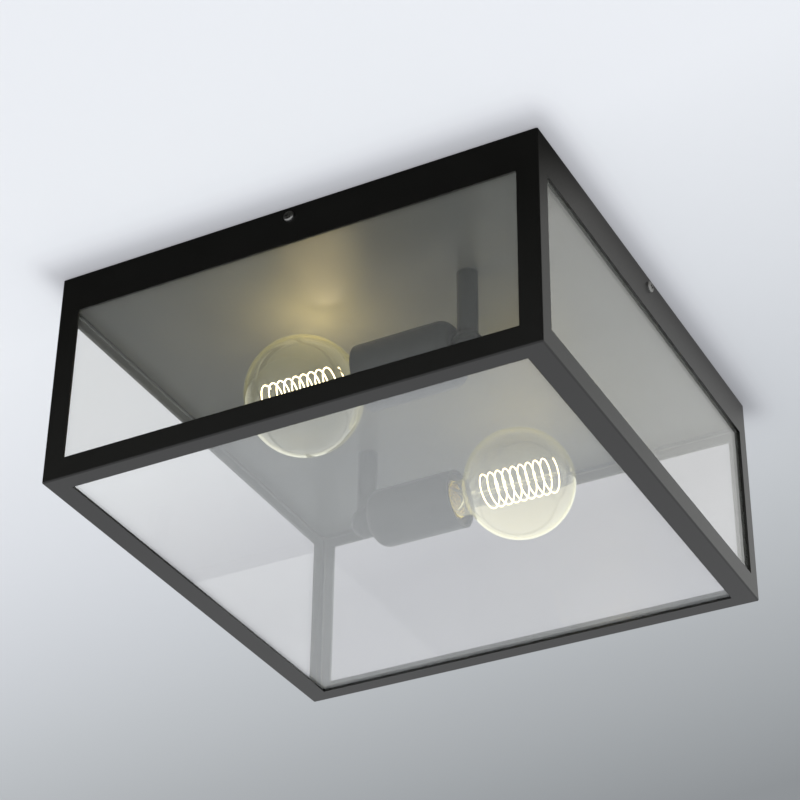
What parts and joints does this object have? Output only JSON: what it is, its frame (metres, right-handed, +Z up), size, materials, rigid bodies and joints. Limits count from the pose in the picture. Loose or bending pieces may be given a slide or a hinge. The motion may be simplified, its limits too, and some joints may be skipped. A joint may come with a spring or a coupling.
{
  "type": "ceiling lantern",
  "caption": "Square glazed ceiling lantern: black sheet-steel cage with clear panes over a grey ceiling pan that carries two horizontal globe bulbs.",
  "frame": {"origin": "centre of the mounting strap's face, on the ceiling", "axes": "+Z up into the ceiling; +X along the mounting strap and the bulbs; +Y towards the back bulb"},
  "size_m": [0.354, 0.354, 0.16],
  "materials": {
    "black_steel": "satin black powder coat",
    "clear_glass": "clear, polished",
    "bedding": "matt black",
    "zinc_steel": "zinc plated",
    "nickel": "bright nickel",
    "grey_steel": "satin grey",
    "pale_plastic": "plain",
    "brass": "bright",
    "earth_sleeve": "plain",
    "live_sleeve": "plain",
    "neutral_sleeve": "plain",
    "dark_moulding": "moulded, satin",
    "amber_glass": "clear amber tint",
    "mount_glass": "clear",
    "black_glass": "gloss",
    "filament": "glowing"
  },
  "bodies": {
    "fixture": {"ceiling_pan": "grey_steel", "mount_strap": "zinc_steel", "strap_studs": "zinc_steel", "lock_nuts": "zinc_steel", "cap_nuts": "nickel", "terminal_bridge": "zinc_steel", "terminal_block": "pale_plastic", "terminal_poles": "brass", "terminal_screws": "zinc_steel", "earth_stud": "brass", "earth_nut": "brass", "lead_earth": "earth_sleeve", "stem_washers": "zinc_steel", "stem_nuts": "zinc_steel", "lead_live_front": "live_sleeve", "lead_live_back": "live_sleeve", "lead_neutral_front": "neutral_sleeve", "lead_neutral_back": "neutral_sleeve", "stem_front": "black_steel", "knuckle_front": "black_steel", "nipple_front": "zinc_steel", "holder_cover_front": "black_steel", "socket_front": "dark_moulding", "thread_shell_front": "brass", "centre_contact_front": "brass", "side_contact_front": "brass", "stem_back": "black_steel", "knuckle_back": "black_steel", "nipple_back": "zinc_steel", "holder_cover_back": "black_steel", "socket_back": "dark_moulding", "thread_shell_back": "brass", "centre_contact_back": "brass", "side_contact_back": "brass"},
    "cage": {"cage_frame": "black_steel", "pane_front": "clear_glass", "pane_back": "clear_glass", "pane_left": "clear_glass", "pane_right": "clear_glass", "pane_bottom": "clear_glass", "pane_seals": "bedding", "cage_screws": "zinc_steel", "weld_nuts": "zinc_steel"},
    "globe_front": {"bulb_globe_front": "amber_glass"},
    "bulb_base_front": {"bulb_cap_front": "brass", "bulb_insulator_front": "black_glass", "bulb_contact_front": "nickel", "bulb_mount_front": "mount_glass", "bulb_wires_front": "nickel", "bulb_filament_front": "filament"},
    "globe_back": {"bulb_globe_back": "amber_glass"},
    "bulb_base_back": {"bulb_cap_back": "brass", "bulb_insulator_back": "black_glass", "bulb_contact_back": "nickel", "bulb_mount_back": "mount_glass", "bulb_wires_back": "nickel", "bulb_filament_back": "filament"}
  },
  "joints": [
    {"name": "cage_drop", "type": "slide", "parent": "fixture", "child": "cage", "axis": [0, 0, -1], "range_m": [0, 0.13]},
    {"name": "bulb_out_front", "type": "slide", "parent": "fixture", "child": "globe_front", "axis": [-1, 0, 0], "range_m": [0, 0.01815]},
    {"name": "bulb_turn_front", "type": "hinge", "parent": "globe_front", "child": "bulb_base_front", "pos_m": [0, -0.0805, -0.0775], "axis": [-1, 0, 0], "range_deg": [0, 1800]},
    {"name": "bulb_out_back", "type": "slide", "parent": "fixture", "child": "globe_back", "axis": [1, 0, 0], "range_m": [0, 0.01815]},
    {"name": "bulb_turn_back", "type": "hinge", "parent": "globe_back", "child": "bulb_base_back", "pos_m": [0, 0.0805, -0.0775], "axis": [1, 0, 0], "range_deg": [0, 1800]}
  ],
  "couplings": [
    {"joint": "bulb_turn_front", "follows": "bulb_out_front", "rad_per_m": 1731.4},
    {"joint": "bulb_turn_back", "follows": "bulb_out_back", "rad_per_m": 1731.4}
  ]
}
